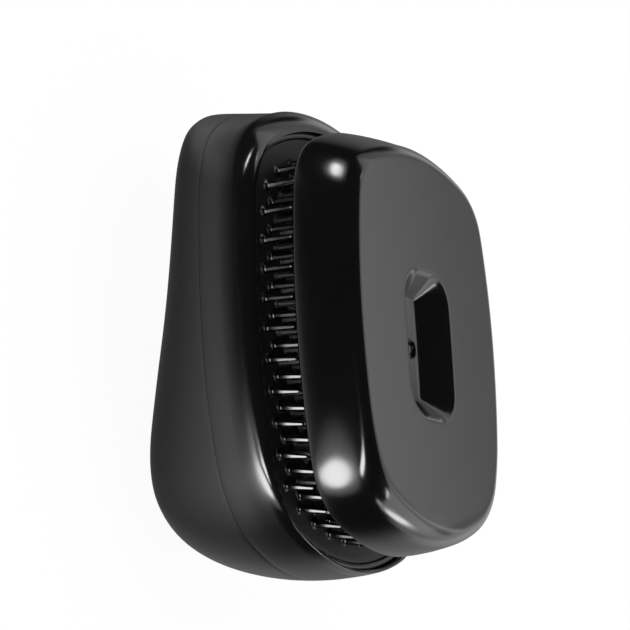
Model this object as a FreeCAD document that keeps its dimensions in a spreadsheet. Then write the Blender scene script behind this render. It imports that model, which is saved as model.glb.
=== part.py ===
import FreeCAD, Part
import math
import os
import Sketcher

# A palm-sized detangling brush with a lift-off cover, lying on its back with its teeth up.
# X runs along the brush, from the thin end to the thick end, Y across it and Z up through the face.

Vector = FreeCAD.Vector
Placement = FreeCAD.Placement
Rotation = FreeCAD.Rotation

DIMENSIONS = [
    # The body's outline, eight tangent arcs seen along Z
    ("body_length", 89.5, "brush body, end to end"),
    ("body_width", 68, "brush body, side to side"),
    ("side_bow_radius", 150, "bow of the long sides"),
    ("end_bow_radius", 50, "bow of the two ends"),
    ("corner_radius", 19, "corners of the outline"),
    # The dome of the palm side: rounded profiles that close in from the rim on each side
    ("crest_height", 36.5, "crest of the rim above the lowest point of the palm side"),
    ("middle_depth", 27, "foot of the rim to the palm side at its middle"),
    ("palm_tilt", 14.2, "slope of the palm side, deeper towards the thick end, degrees"),
    ("thick_end_inset", 29, "outline to the palm face at the thick end"),
    ("thin_end_inset", 5, "outline to the palm face at the thin end"),
    ("palm_width", 16, "palm face, side to side"),
    ("thick_end_power", 1.9, "power of the rounded profile at the thick end, 2 for an ellipse"),
    ("thin_end_power", 5, "power of the rounded profile at the thin end"),
    ("side_power", 1.8, "power of the rounded profile at the sides"),
    ("palm_end_bow_radius", 12, "bow of the palm face's ends"),
    ("palm_corner_radius", 5, "corners of the palm face, where its ends are wide enough for them"),
    ("corner_fit_share", 0.95, "largest corner, as a share of half the width between the bowed sides' ends"),
    ("shell_wall", 1.8, "wall of the rear shell and of the frame"),
    # Front frame
    ("frame_depth", 11, "parting plane to the crest of the rim"),
    ("rim_height", 5.2, "foot of the rim to its crest"),
    ("rim_radius", 3.4, "round of the rim's outer edge"),
    ("rim_width", 4, "outer wall to the inner wall of the rim"),
    ("ledge_drop", 4.9, "crest of the rim to the ledge inside it"),
    ("ledge_width", 4.4, "width of the ledge"),
    ("ledge_thickness", 1.8, "thickness of the ledge"),
    # What lies on the ledge
    ("carrier_flange", 1.5, "carrier plate's flange on the ledge"),
    ("carrier_core", 1.5, "carrier plate's depth below its flange"),
    ("pad_thickness", 1.9, "pad without its teeth"),
    ("ring_width", 1.3, "retaining ring, across its section"),
    ("ring_height", 2.3, "retaining ring, up from the carrier"),
    ("ring_round", 0.5, "round of the ring's upper edges"),
    ("seat_clearance", 0.15, "sideways clearance of pieces that nest"),
    # Teeth
    ("tooth_pitch", 5.7, "tooth to tooth along a row"),
    ("row_pitch", 2.5, "row to row, from the outline inwards"),
    ("rows_shift", 0.5, "middle of the rows, moved towards the thin end"),
    ("row_corner_radius", 2, "smallest corner of a row"),
    ("long_tooth", 8.9, "long teeth above the pad"),
    ("short_tooth", 5.9, "short teeth above the pad"),
    ("tooth_base_radius", 0.75, "tooth at the pad"),
    ("tooth_tip_radius", 0.4, "tooth at its round tip"),
    ("tooth_root", 0.6, "tooth's root inside the pad"),
    ("tooth_lean", 6, "lean of the middle teeth towards the thick end, degrees"),
    ("fan_angle", 10, "lean added towards each end, degrees"),
    ("tooth_clearance", 1.25, "outer teeth to the inside of the cover, at the pad"),
    ("hub_clearance", 0.6, "teeth to the hub of the cover's recess"),
    # Screws and the posts they go into
    ("post_end_inset", 18.75, "outline's ends to the middles of the screw posts"),
    ("post_side_inset", 18, "outline's sides to the middles of the screw posts"),
    ("post_diameter", 6, "screw post"),
    ("screw_diameter", 2.4, "screw shank"),
    ("screw_length", 8, "screw shank below its head"),
    ("screw_head_diameter", 4.6, "screw head"),
    ("screw_head_height", 1.2, "screw head"),
    ("screw_slot_width", 0.7, "arms of the cross in the screw head"),
    ("screw_slot_length", 2.6, "arms of the cross in the screw head, end to end"),
    ("screw_slot_depth", 0.6, "depth of the cross"),
    ("screw_clearance", 0.15, "round the screw's shank and head, and below its end"),
    # Cover
    ("cover_inset", 5.4, "cover's outer wall inside the body's outline"),
    ("cover_height", 11.8, "cover, open edge to face"),
    ("cover_wall", 1.5, "wall of the cover"),
    ("cover_edge_radius", 4.5, "round between the cover's side and face"),
    ("cover_gap", 6.9, "rim crest to the open edge of the lifted cover"),
    ("recess_shift", 2.1, "middle of the recess, moved towards the thick end"),
    ("recess_length", 27.5, "mouth of the recess, along"),
    ("recess_width", 17, "mouth of the recess, across"),
    ("recess_corner_radius", 6, "corners of the mouth"),
    ("recess_floor_length", 18.5, "floor of the recess, along"),
    ("recess_floor_width", 5, "floor of the recess, across"),
    ("recess_floor_corner_radius", 0.6, "corners of the floor"),
    ("recess_bow_radius", 300, "bow of the recess's sides"),
    ("recess_depth", 3.2, "face to the floor of the recess"),
    ("recess_wall", 1.3, "wall round the recess"),
    ("gate_diameter", 3.7, "round gate mark in the recess floor"),
    ("gate_depth", 0.5, "depth of the gate mark"),
    ("gate_stub_diameter", 1.5, "stub in the middle of the gate mark"),
    ("gate_stub_height", 0.3, "stub above the bottom of the gate mark"),
    # How far a cutting shape runs past what it cuts
    ("overrun", 1, "overrun of cuts"),
]

doc = FreeCAD.newDocument("travel_brush")
sheet = doc.addObject("Spreadsheet::Sheet", "Sizes")
for row, (alias, number, note) in enumerate(DIMENSIONS, start=1):
    sheet.set(f"A{row}", note)
    sheet.set(f"B{row}", str(number))
    sheet.setAlias(f"B{row}", alias)
doc.recompute()


gauge = doc.addObject("App::FeaturePython", "Gauge")
gauge.addProperty("App::PropertyFloat", "Reading")


def value(expression):
    """The number that an expression on the sheet's cells comes to."""
    gauge.setExpression("Reading", expression)
    gauge.recompute()
    return gauge.Reading


# Heights over the floor, and insets from the body's outline, as expressions on the sheet
CREST = "Sizes.crest_height"
PARTING = f"({CREST} - Sizes.frame_depth)"
RIM_FOOT = f"({CREST} - Sizes.rim_height)"
LEDGE = f"({CREST} - Sizes.ledge_drop)"
LEDGE_FOOT = f"({LEDGE} - Sizes.ledge_thickness)"
CARRIER_TOP = f"({LEDGE} + Sizes.carrier_flange)"
CARRIER_FOOT = f"({LEDGE} - Sizes.carrier_core)"
PAD_TOP = f"({CARRIER_TOP} + Sizes.pad_thickness)"
COVER_EDGE = f"({CREST} + Sizes.cover_gap)"
COVER_FACE = f"({COVER_EDGE} + Sizes.cover_height)"
RECESS_FLOOR = f"({COVER_FACE} - Sizes.recess_depth)"
OPENING_INSET = "(Sizes.rim_width + Sizes.ledge_width)"
RING_INSET = "(Sizes.rim_width + Sizes.seat_clearance)"
PAD_INSET = f"({RING_INSET} + Sizes.ring_width + Sizes.seat_clearance)"
COVER_INSIDE_INSET = "(Sizes.cover_inset + Sizes.cover_wall)"


def origin_plane(body, role):
    """One of a body's own origin planes."""
    return [feature for feature in body.Origin.OriginFeatures if feature.Role == role][0]


def flat_sketch(body, name, height):
    """A sketch on the body's XY plane, lifted to a height."""
    sketch = body.newObject("Sketcher::SketchObject", name)
    sketch.AttachmentSupport = [(origin_plane(body, "XY_Plane"), "")]
    sketch.MapMode = "FlatFace"
    sketch.setExpression("AttachmentOffset.Base.z", height)
    return sketch


def corner_centre(half_length, half_width, side, end, corner):
    """Centre of the corner arc that runs into both the side's and the end's bow."""
    side_y = half_width - side
    end_x = half_length - end
    reach_side = side - corner
    reach_end = end - corner
    span = math.hypot(end_x, side_y)
    along = (reach_side ** 2 - reach_end ** 2 + span ** 2) / (2 * span)
    aside = math.sqrt(reach_side ** 2 - along ** 2)
    toward = ((end_x) / span, -side_y / span)
    x = toward[0] * along + toward[1] * aside
    y = side_y + toward[1] * along - toward[0] * aside
    return abs(x), abs(y)


def bowed_outline(sketch, half_length, half_width, side, end, corner):
    """Draw eight tangent arcs round the sketch's origin, each size bound to an expression."""
    long_half, wide_half, side_r, end_r, corner_r = (
        value(size) for size in (half_length, half_width, side, end, corner))
    corner_x, corner_y = corner_centre(long_half, wide_half, side_r, end_r, corner_r)
    side_y = wide_half - side_r
    end_x = long_half - end_r
    end_turn = math.atan2(corner_y, corner_x - end_x)
    side_turn = math.atan2(corner_y - side_y, corner_x)
    half_turn = math.pi
    arcs = [
        (end_x, 0, end_r, -end_turn, end_turn),
        (corner_x, corner_y, corner_r, end_turn, side_turn),
        (0, side_y, side_r, side_turn, half_turn - side_turn),
        (-corner_x, corner_y, corner_r, half_turn - side_turn, half_turn - end_turn),
        (-end_x, 0, end_r, half_turn - end_turn, half_turn + end_turn),
        (-corner_x, -corner_y, corner_r, half_turn + end_turn, half_turn + side_turn),
        (0, -side_y, side_r, half_turn + side_turn, 2 * half_turn - side_turn),
        (corner_x, -corner_y, corner_r, 2 * half_turn - side_turn, 2 * half_turn - end_turn),
    ]
    up = Vector(0, 0, 1)
    for x, y, radius, start, stop in arcs:
        sketch.addGeometry(Part.ArcOfCircle(Part.Circle(Vector(x, y, 0), up, radius), start, stop))
    for number in range(len(arcs)):
        following = (number + 1) % len(arcs)
        sketch.addConstraint(Sketcher.Constraint("Tangent", number, 2, following, 1))
    radii = [end, corner, side, corner] * 2
    for number, (arc, size) in enumerate(zip(arcs, radii)):
        place = sketch.addConstraint(Sketcher.Constraint("Radius", number, arc[2]))
        sketch.setExpression(f"Constraints[{place}]", size)
    for number, direction, axis, x_or_y, size in (
            (0, "DistanceX", -1, end_x, f"({half_length}) - ({end})"),
            (4, "DistanceX", -1, -end_x, f"({end}) - ({half_length})"),
            (2, "DistanceY", -2, side_y, f"({half_width}) - ({side})"),
            (6, "DistanceY", -2, -side_y, f"({side}) - ({half_width})")):
        sketch.addConstraint(Sketcher.Constraint("PointOnObject", number, 3, axis))
        place = sketch.addConstraint(Sketcher.Constraint(direction, number, 3, x_or_y))
        sketch.setExpression(f"Constraints[{place}]", size)


def body_outline(body, name, height, inset):
    """The body's outline, drawn in by an inset, at a height."""
    sketch = flat_sketch(body, name, height)
    bowed_outline(
        sketch,
        f"Sizes.body_length / 2 - {inset}",
        f"Sizes.body_width / 2 - {inset}",
        f"Sizes.side_bow_radius - {inset}",
        f"Sizes.end_bow_radius - {inset}",
        f"Sizes.corner_radius - {inset}")
    return sketch


def circles(body, name, height, diameter, places):
    """A sketch of equal circles; each place is a pair of expressions."""
    sketch = flat_sketch(body, name, height)
    up = Vector(0, 0, 1)
    for number, (along, across) in enumerate(places):
        centre = Vector(value(along), value(across), 0)
        sketch.addGeometry(Part.Circle(centre, up, value(diameter) / 2))
        for kind, where, size in (("Diameter", (), diameter),
                                  ("DistanceX", (3,), along),
                                  ("DistanceY", (3,), across)):
            place = sketch.addConstraint(Sketcher.Constraint(kind, number, *where, value(size)))
            sketch.setExpression(f"Constraints[{place}]", size)
    return sketch


def pad_up(body, name, sketch, length):
    """Extrude a sketch upwards and add it."""
    pad = body.newObject("PartDesign::Pad", name)
    pad.Profile = sketch
    pad.setExpression("Length", length)
    doc.recompute()
    return pad


def pocket(body, name, sketch, length, upwards=False):
    """Cut a sketch away, downwards unless told, and see that it did cut."""
    before = body.Shape.Volume
    cut = body.newObject("PartDesign::Pocket", name)
    cut.Profile = sketch
    cut.Reversed = upwards
    cut.setExpression("Length", length)
    doc.recompute()
    if not body.Shape.Volume < before:
        raise ValueError(f"{name} cuts nothing")
    return cut


def edges_at(shape, height):
    """Names of the edges that lie wholly at a height."""
    near = Part.Vertex(Vector(0, 0, height)).Tolerance * 100
    return [
        f"Edge{number}" for number, edge in enumerate(shape.Edges, start=1)
        if abs(edge.BoundBox.ZMin - height) < near and abs(edge.BoundBox.ZMax - height) < near]


def fillet_edges(body, name, base, edges, radius):
    """Round some edges of a body's last feature."""
    fillet = body.newObject("PartDesign::Fillet", name)
    fillet.Base = (base, edges)
    fillet.setExpression("Radius", radius)
    doc.recompute()
    return fillet


def hollow_from(body, name, base, height, wall):
    """Hollow a body to a wall, open at its flat face at a height."""
    open_faces = [
        f"Face{number}" for number, face in enumerate(base.Shape.Faces, start=1)
        if face.BoundBox.ZMax < height + face.Tolerance * 100]
    shell = body.newObject("PartDesign::Thickness", name)
    shell.Base = (base, open_faces)
    shell.Reversed = True
    shell.setExpression("Value", wall)
    doc.recompute()
    return shell


def new_body(name):
    """A body whose label is its node's name."""
    body = doc.addObject("PartDesign::Body", name)
    body.Label = name
    return body


POST_PLACES = [
    (f"{along} * (Sizes.body_length / 2 - Sizes.post_end_inset)",
     f"{across} * (Sizes.body_width / 2 - Sizes.post_side_inset)")
    for along in (-1, 1) for across in (-1, 1)]


# The dome: lofted through outlines that close in, sink and tilt from the rim towards the palm side
DOME_TURNS = (0, 15, 30, 45, 60, 75, 90)


def closing(depth_share, power):
    """How far a wall has closed in at a share of the depth, from 0 at the rim to 1 at the palm face."""
    return f"(1 - (1 - {depth_share} ^ Sizes.{power}) ^ (1 / Sizes.{power}))"


def dome(name, wall):
    """The dome, drawn in by a wall on its sides and on the palm side."""
    body = new_body(name)
    sections = []
    for number, turn in enumerate(DOME_TURNS):
        share = math.sin(math.radians(turn))
        thick = f"Sizes.thick_end_inset * {closing(share, 'thick_end_power')}"
        thin = f"Sizes.thin_end_inset * {closing(share, 'thin_end_power')}"
        side_share = closing(share, "side_power")
        slope = f"{share ** 2} * tan(Sizes.palm_tilt * 1 deg)"
        middle = f"({thin} - {thick}) / 2"
        depth = f"{share} * (Sizes.middle_depth - {wall})"
        side_inset = f"(Sizes.body_width - Sizes.palm_width) / 2 * {side_share}"
        half_length = f"(Sizes.body_length - {thick} - {thin}) / 2 - {wall}"
        half_width = f"Sizes.body_width / 2 - {side_inset} - {wall}"
        side_bow = f"Sizes.side_bow_radius - {wall}"
        end_half_width = f"({half_width}) - ({half_length}) ^ 2 / (2 * ({side_bow}))"

        def eased(start, stop):
            return f"({start}) + (({stop}) - ({start})) * {side_share}"

        sketch = flat_sketch(body, f"{name}_section_{number}", f"{RIM_FOOT} - {depth} - {slope} * {middle}")
        sketch.setExpression("AttachmentOffset.Base.x", middle)
        sketch.AttachmentOffset = Placement(Vector(), Rotation(Vector(0, 1, 0), 1))
        sketch.setExpression("AttachmentOffset.Rotation.Angle", f"atan({slope})")
        corner = eased("Sizes.corner_radius", "Sizes.palm_corner_radius") + f" - {wall}"
        bowed_outline(
            sketch, half_length, half_width, side_bow,
            eased("Sizes.end_bow_radius", "Sizes.palm_end_bow_radius") + f" - {wall}",
            f"min({corner}; Sizes.corner_fit_share * ({end_half_width}))")
        sections.append(sketch)
    doc.recompute()
    loft = body.newObject("PartDesign::AdditiveLoft", f"{name}_loft")
    loft.Profile = sections[0]
    loft.Sections = sections[1:]
    doc.recompute()
    return body


def slab(name, foot, top):
    """A block wider than the body, between two heights."""
    block = doc.addObject("Part::Box", name)
    block.setExpression("Length", "Sizes.body_length + 2 * Sizes.overrun")
    block.setExpression("Width", "Sizes.body_width + 2 * Sizes.overrun")
    block.setExpression("Height", f"({top}) - ({foot})")
    block.setExpression("Placement.Base.x", "-Sizes.body_length / 2 - Sizes.overrun")
    block.setExpression("Placement.Base.y", "-Sizes.body_width / 2 - Sizes.overrun")
    block.setExpression("Placement.Base.z", foot)
    return block


def post_cylinders(name, diameter, foot, top):
    """Four upright cylinders at the screw posts."""
    cylinders = []
    for number, (along, across) in enumerate(POST_PLACES):
        cylinder = doc.addObject("Part::Cylinder", f"{name}_{number}")
        cylinder.setExpression("Radius", f"({diameter}) / 2")
        cylinder.setExpression("Height", f"({top}) - ({foot})")
        cylinder.setExpression("Placement.Base.x", along)
        cylinder.setExpression("Placement.Base.y", across)
        cylinder.setExpression("Placement.Base.z", foot)
        cylinders.append(cylinder)
    group = doc.addObject("Part::Compound", name)
    group.Links = cylinders
    return group


def combine(kind, name, base, tool):
    """A boolean of two objects."""
    result = doc.addObject(kind, name)
    result.Base = base
    result.Tool = tool
    doc.recompute()
    return result


def make_rear_shell(outside, inside):
    """The dome below the parting plane, hollow, with four screw posts that rise to the carrier plate."""
    below = slab("below_parting", f"{PARTING} - 2 * {CREST}", PARTING)
    skin = combine("Part::Common", "rear_skin", outside, below)
    hollow = combine("Part::Common", "rear_hollow", inside, below)
    roots = post_cylinders("post_roots", "Sizes.post_diameter", "0", PARTING)
    tops = post_cylinders("post_tops", "Sizes.post_diameter", PARTING, CARRIER_FOOT)
    hole_foot = f"{CARRIER_TOP} - Sizes.screw_head_height - Sizes.screw_length - Sizes.screw_clearance"
    holes = post_cylinders(
        "post_holes", "Sizes.screw_diameter + 2 * Sizes.screw_clearance",
        hole_foot, f"{CARRIER_FOOT} + Sizes.overrun")
    cavity = combine("Part::Cut", "rear_cavity", hollow, roots)
    walls = combine("Part::Cut", "rear_walls", skin, cavity)
    with_posts = combine("Part::Fuse", "rear_with_posts", walls, tops)
    return combine("Part::Cut", "rear_shell", with_posts, holes)


def make_front_frame(outside, inside):
    """The front half of the body: the dome above the parting plane, a rounded rim and a ledge inside it."""
    rim = new_body("rim")
    block = pad_up(rim, "rim_block", body_outline(rim, "rim_outline", RIM_FOOT, "0"), "Sizes.rim_height")
    fillet_edges(rim, "rim_round", block, edges_at(block.Shape, value(CREST)), "Sizes.rim_radius")
    skin = combine("Part::Common", "front_skin", outside, slab("above_parting", PARTING, CREST))
    blank = combine("Part::Fuse", "front_blank", skin, rim)
    seat = new_body("seat")
    pad_up(seat, "seat_block", body_outline(seat, "seat_outline", LEDGE, "Sizes.rim_width"),
           "Sizes.ledge_drop + Sizes.overrun")
    opening = new_body("opening")
    pad_up(opening, "opening_block",
           body_outline(opening, "opening_outline", f"{PARTING} - Sizes.overrun", OPENING_INSET),
           "Sizes.frame_depth + 2 * Sizes.overrun")
    hollow = combine(
        "Part::Common", "front_hollow", inside,
        slab("under_ledge", f"{PARTING} - Sizes.overrun", LEDGE_FOOT))
    seated = combine("Part::Cut", "front_seated", blank, seat)
    opened = combine("Part::Cut", "front_opened", seated, opening)
    return combine("Part::Cut", "front_frame", opened, hollow)


def make_pad_carrier():
    """The stiff plate on the ledge, with a counterbored hole over each post."""
    body = new_body("pad_carrier")
    flange = body_outline(body, "flange_outline", LEDGE, RING_INSET)
    pad_up(body, "carrier_plate", flange, "Sizes.carrier_flange")
    core = body_outline(
        body, "core_outline", CARRIER_FOOT, f"({OPENING_INSET} + Sizes.seat_clearance)")
    pad_up(body, "carrier_plate_core", core, "Sizes.carrier_core")
    bores = circles(
        body, "screw_bores", CARRIER_TOP, "Sizes.screw_diameter + 2 * Sizes.screw_clearance", POST_PLACES)
    pocket(body, "screw_bore", bores, "Sizes.carrier_flange + Sizes.carrier_core")
    heads = circles(
        body, "head_bores", CARRIER_TOP, "Sizes.screw_head_diameter + 2 * Sizes.screw_clearance", POST_PLACES)
    pocket(body, "head_bore", heads, "Sizes.screw_head_height")
    return body


def make_retaining_ring():
    """The thin bead that holds the pad's edge inside the rim."""
    body = new_body("pad_retaining_ring")
    outer = pad_up(
        body, "ring_block", body_outline(body, "ring_outline", CARRIER_TOP, RING_INSET), "Sizes.ring_height")
    inner = body_outline(
        body, "ring_inside", f"{CARRIER_TOP} + Sizes.ring_height", f"({RING_INSET} + Sizes.ring_width)")
    cut = pocket(body, "ring_opening", inner, "Sizes.ring_height")
    top = value(f"{CARRIER_TOP} + Sizes.ring_height")
    fillet_edges(body, "ring_bead", cut, edges_at(cut.Shape, top), "Sizes.ring_round")
    return body


def tooth_solid(length):
    """One tooth on the Z axis: a slim cone that runs into a round tip, with a root below the pad's face."""
    base = value("Sizes.tooth_base_radius")
    tip = value("Sizes.tooth_tip_radius")
    root = value("Sizes.tooth_root")
    centre = length - tip
    lean = math.acos(tip / math.hypot(base, centre)) - math.atan2(centre, base)
    crown_turn = (lean + math.pi / 2) / 2
    shoulder = Vector(tip * math.cos(lean), 0, centre + tip * math.sin(lean))
    crown_middle = Vector(tip * math.cos(crown_turn), 0, centre + tip * math.sin(crown_turn))
    top = Vector(0, 0, length)
    foot = Vector(base + root * math.tan(lean), 0, -root)
    sides = [top, Vector(0, 0, -root), foot, shoulder]
    profile = Part.Wire(Part.makePolygon(sides).Edges + [Part.Arc(shoulder, crown_middle, top).toShape()])
    return Part.Face(profile).revolve(Vector(), Vector(0, 0, 1), 360)


def row_loop(inset):
    """Close points round a row of teeth, an outline inside the body's, from the middle of one long side."""
    half_length = value("Sizes.body_length / 2") - inset
    half_width = value("Sizes.body_width / 2") - inset
    side = value("Sizes.side_bow_radius") - inset
    end = value("Sizes.end_bow_radius") - inset
    corner = max(value("Sizes.corner_radius") - inset, value("Sizes.row_corner_radius"))
    corner_x, corner_y = corner_centre(half_length, half_width, side, end, corner)
    side_turn = math.atan2(corner_y - (half_width - side), corner_x)
    end_turn = math.atan2(corner_y, corner_x - (half_length - end))
    arcs = [(0, half_width - side, side, math.pi / 2, side_turn),
            (corner_x, corner_y, corner, side_turn, end_turn),
            (half_length - end, 0, end, end_turn, 0)]
    quarter = []
    for x, y, radius, first, last in arcs:
        for step in range(60):
            turn = first + (last - first) * step / 60
            quarter.append((x + radius * math.cos(turn), y + radius * math.sin(turn)))
    half = quarter + [(half_length, 0)] + [(x, -y) for x, y in reversed(quarter)]
    return half + [(-x, y) for x, y in reversed(half[1:-1])] + half[:1]


def spaced(loop, pitch, stagger):
    """Points at an even pitch round a loop; an even number, so that the row mirrors onto itself."""
    along = [0]
    for one, two in zip(loop, loop[1:]):
        along.append(along[-1] + math.dist(one, two))
    count = 2 * max(round(along[-1] / pitch / 2), 1)
    places = []
    index = 0
    for step in range(count):
        goal = along[-1] * (step + stagger) / count
        while along[index + 1] < goal:
            index += 1
        share = (goal - along[index]) / (along[index + 1] - along[index])
        one, two = loop[index], loop[index + 1]
        places.append((one[0] + (two[0] - one[0]) * share, one[1] + (two[1] - one[1]) * share))
    return places


def tooth_places():
    """Where the teeth stand, in rows that follow the outline, staggered by half a pitch: x, y, lean, length."""
    pitch = value("Sizes.tooth_pitch")
    row_pitch = value("Sizes.row_pitch")
    long_tooth = value("Sizes.long_tooth")
    short_tooth = value("Sizes.short_tooth")
    half_length = value("Sizes.body_length / 2")
    half_width = value("Sizes.body_width / 2")
    hub_middle = value("Sizes.recess_shift")
    hub_along = value("Sizes.recess_length / 2 + Sizes.recess_wall + Sizes.hub_clearance")
    hub_across = value("Sizes.recess_width / 2 + Sizes.recess_wall + Sizes.hub_clearance")
    inset = value(f"{COVER_INSIDE_INSET} + Sizes.tooth_clearance + Sizes.tooth_base_radius")
    places = []
    row = 0
    while half_width - inset > row_pitch:
        for along, y in spaced(row_loop(inset), pitch, (row % 2) / 2):
            x = along - value("Sizes.rows_shift")
            lean = value("Sizes.tooth_lean") + value("Sizes.fan_angle") * x / half_length
            under_hub = abs(x - hub_middle) < hub_along and abs(y) < hub_across
            length = short_tooth if under_hub or row % 2 == 0 else long_tooth
            places.append((x, y, lean, length))
        inset += row_pitch
        row += 1
    return places


def make_tooth_pad():
    """The pad and its teeth; each tooth stays a solid of its own, cut off flush with the pad's face."""
    plate = new_body("pad_plate")
    pad_up(plate, "pad_block", body_outline(plate, "pad_outline", CARRIER_TOP, PAD_INSET), "Sizes.pad_thickness")
    top = value(PAD_TOP)
    patterns = {}
    for size in ("Sizes.long_tooth", "Sizes.short_tooth"):
        patterns[value(size)] = tooth_solid(value(size))
    teeth = []
    for x, y, lean, length in tooth_places():
        tooth = patterns[length].copy()
        tooth.Placement = Placement(Vector(x, y, top), Rotation(Vector(0, 1, 0), lean))
        teeth.append(tooth.cut(plate.Shape).Solids[0])
    print(len(teeth), "teeth")
    pad = doc.addObject("Part::Feature", "tooth_pad")
    pad.Shape = Part.makeCompound([plate.Shape.Solids[0]] + teeth)
    return pad


def make_screws():
    """Four cross-head screws, from the carrier plate down into the posts."""
    head_foot = f"{CARRIER_TOP} - Sizes.screw_head_height"
    screw_foot = f"{head_foot} - Sizes.screw_length"
    heads = post_cylinders("screw_heads", "Sizes.screw_head_diameter", head_foot, CARRIER_TOP)
    shanks = post_cylinders("screw_shanks", "Sizes.screw_diameter", screw_foot, head_foot)
    arms = []
    for number, (along, across) in enumerate(POST_PLACES):
        for name, length, width in (("slot", "Sizes.screw_slot_length", "Sizes.screw_slot_width"),
                                    ("cross", "Sizes.screw_slot_width", "Sizes.screw_slot_length")):
            arm = doc.addObject("Part::Box", f"screw_{name}_{number}")
            arm.setExpression("Length", length)
            arm.setExpression("Width", width)
            arm.setExpression("Height", "Sizes.screw_slot_depth + Sizes.overrun")
            arm.setExpression("Placement.Base.x", f"{along} - {length} / 2")
            arm.setExpression("Placement.Base.y", f"{across} - {width} / 2")
            arm.setExpression("Placement.Base.z", f"{CARRIER_TOP} - Sizes.screw_slot_depth")
            arms.append(arm)
    crosses = doc.addObject("Part::MultiFuse", "screw_crosses")
    crosses.Shapes = arms
    blanks = combine("Part::Fuse", "screw_blanks", heads, shanks)
    return combine("Part::Cut", "frame_screws", blanks, crosses)


def recess_outline(body, name, height, length, width, corner, wall="0"):
    """A level of the cover's hopper-shaped recess."""
    sketch = flat_sketch(body, name, height)
    sketch.setExpression("AttachmentOffset.Base.x", "Sizes.recess_shift")
    bowed_outline(
        sketch, f"{length} / 2 + {wall}", f"{width} / 2 + {wall}",
        "Sizes.recess_bow_radius", "Sizes.recess_bow_radius", f"{corner} + {wall}")
    return sketch


def make_cover():
    """The deep cover, open towards the teeth, with a hopper-shaped recess in its face."""
    body = new_body("cover_shell")
    block = pad_up(body, "cover_block", body_outline(body, "cover_outline", COVER_EDGE, "Sizes.cover_inset"),
                   "Sizes.cover_height")
    rim = edges_at(block.Shape, value(COVER_FACE))
    rounded = fillet_edges(body, "cover_round", block, rim, "Sizes.cover_edge_radius")
    hollow_from(body, "cover_wall", rounded, value(COVER_EDGE), "Sizes.cover_wall")
    mouth = ("Sizes.recess_length", "Sizes.recess_width", "Sizes.recess_corner_radius")
    floor = ("Sizes.recess_floor_length", "Sizes.recess_floor_width", "Sizes.recess_floor_corner_radius")
    hub = body.newObject("PartDesign::AdditiveLoft", "recess_hub")
    hub.Profile = recess_outline(
        body, "hub_top", f"{COVER_FACE} - Sizes.cover_wall / 2", *mouth, wall="Sizes.recess_wall")
    hub.Sections = [recess_outline(
        body, "hub_foot", f"{RECESS_FLOOR} - Sizes.recess_wall", *floor, wall="Sizes.recess_wall")]
    doc.recompute()
    before = body.Shape.Volume
    recess = body.newObject("PartDesign::SubtractiveLoft", "recess")
    recess.Profile = recess_outline(body, "recess_mouth", COVER_FACE, *mouth)
    recess.Sections = [recess_outline(body, "recess_floor", RECESS_FLOOR, *floor)]
    doc.recompute()
    if not body.Shape.Volume < before:
        raise ValueError("the recess cuts nothing")
    middle = [("Sizes.recess_shift", "0")]
    gate = circles(body, "gate_mark_outline", RECESS_FLOOR, "Sizes.gate_diameter", middle)
    pocket(body, "gate_mark", gate, "Sizes.gate_depth")
    stub = circles(
        body, "gate_stub_outline", f"{RECESS_FLOOR} - Sizes.gate_depth", "Sizes.gate_stub_diameter", middle)
    pad_up(body, "gate_stub", stub, "Sizes.gate_stub_height")
    return body


dome_outside = dome("dome_outside", "0")
dome_inside = dome("dome_inside", "Sizes.shell_wall")
nodes = [
    make_rear_shell(dome_outside, dome_inside), make_front_frame(dome_outside, dome_inside),
    make_pad_carrier(), make_screws(),
    make_retaining_ring(), make_tooth_pad(), make_cover()]
doc.recompute()

for item in doc.Objects:
    if "Invalid" in item.State or "Error" in item.State:
        raise ValueError(f"{item.Name} failed: {item.State}")
for node in nodes:
    if node.Shape.isNull() or not node.Shape.isValid():
        raise ValueError(f"{node.Label} has no sound shape")

os.makedirs("parts", exist_ok=True)
for node in nodes:
    box = node.Shape.BoundBox
    print(node.Label, len(node.Shape.Solids), "solids", round(node.Shape.Volume, 1), "mm3,",
          "z", round(box.ZMin, 3), "to", round(box.ZMax, 3))
    node.Shape.exportStep(f"parts/{node.Label}.step")
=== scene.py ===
import math

import bmesh
import bpy
from mathutils import Matrix, Vector


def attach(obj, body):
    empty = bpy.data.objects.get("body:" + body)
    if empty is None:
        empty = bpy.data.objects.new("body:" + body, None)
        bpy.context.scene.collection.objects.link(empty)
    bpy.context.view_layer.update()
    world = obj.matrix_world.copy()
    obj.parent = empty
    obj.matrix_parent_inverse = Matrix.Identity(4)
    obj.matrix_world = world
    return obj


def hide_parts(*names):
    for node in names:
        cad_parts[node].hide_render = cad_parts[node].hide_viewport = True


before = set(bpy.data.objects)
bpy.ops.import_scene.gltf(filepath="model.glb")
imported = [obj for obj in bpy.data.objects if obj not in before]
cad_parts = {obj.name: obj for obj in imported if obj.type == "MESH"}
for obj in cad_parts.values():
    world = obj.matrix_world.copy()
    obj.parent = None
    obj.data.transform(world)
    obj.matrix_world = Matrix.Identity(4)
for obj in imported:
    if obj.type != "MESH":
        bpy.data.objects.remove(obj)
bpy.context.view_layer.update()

bl_info = {
    "name": "Palm brush with lift-off cover",
    "version": (1, 0, 0),
    "blender": (4, 5, 0),
    "location": "View3D > Sidebar > Brush",
    "description": "Builds the looks of a palm-held detangling brush round its packed model",
    "category": "Object",
}

MM = 0.001

# How many points each stretch of an eight-arc outline gets, so that all outlines match point for point
END_STEPS = 22
CORNER_STEPS = 18
SIDE_STEPS = 30
# How often the body's outline is softened where its arcs meet
OUTLINE_PASSES = 6
# How many steps the rounds take: the rim's outer edge, small lips, and the cover's outside, inside and lip
RIM_STEPS = 14
LIP_STEPS = 5
COVER_STEPS = 16
INNER_COVER_STEPS = 8
COVER_LIP_STEPS = 4
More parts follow.
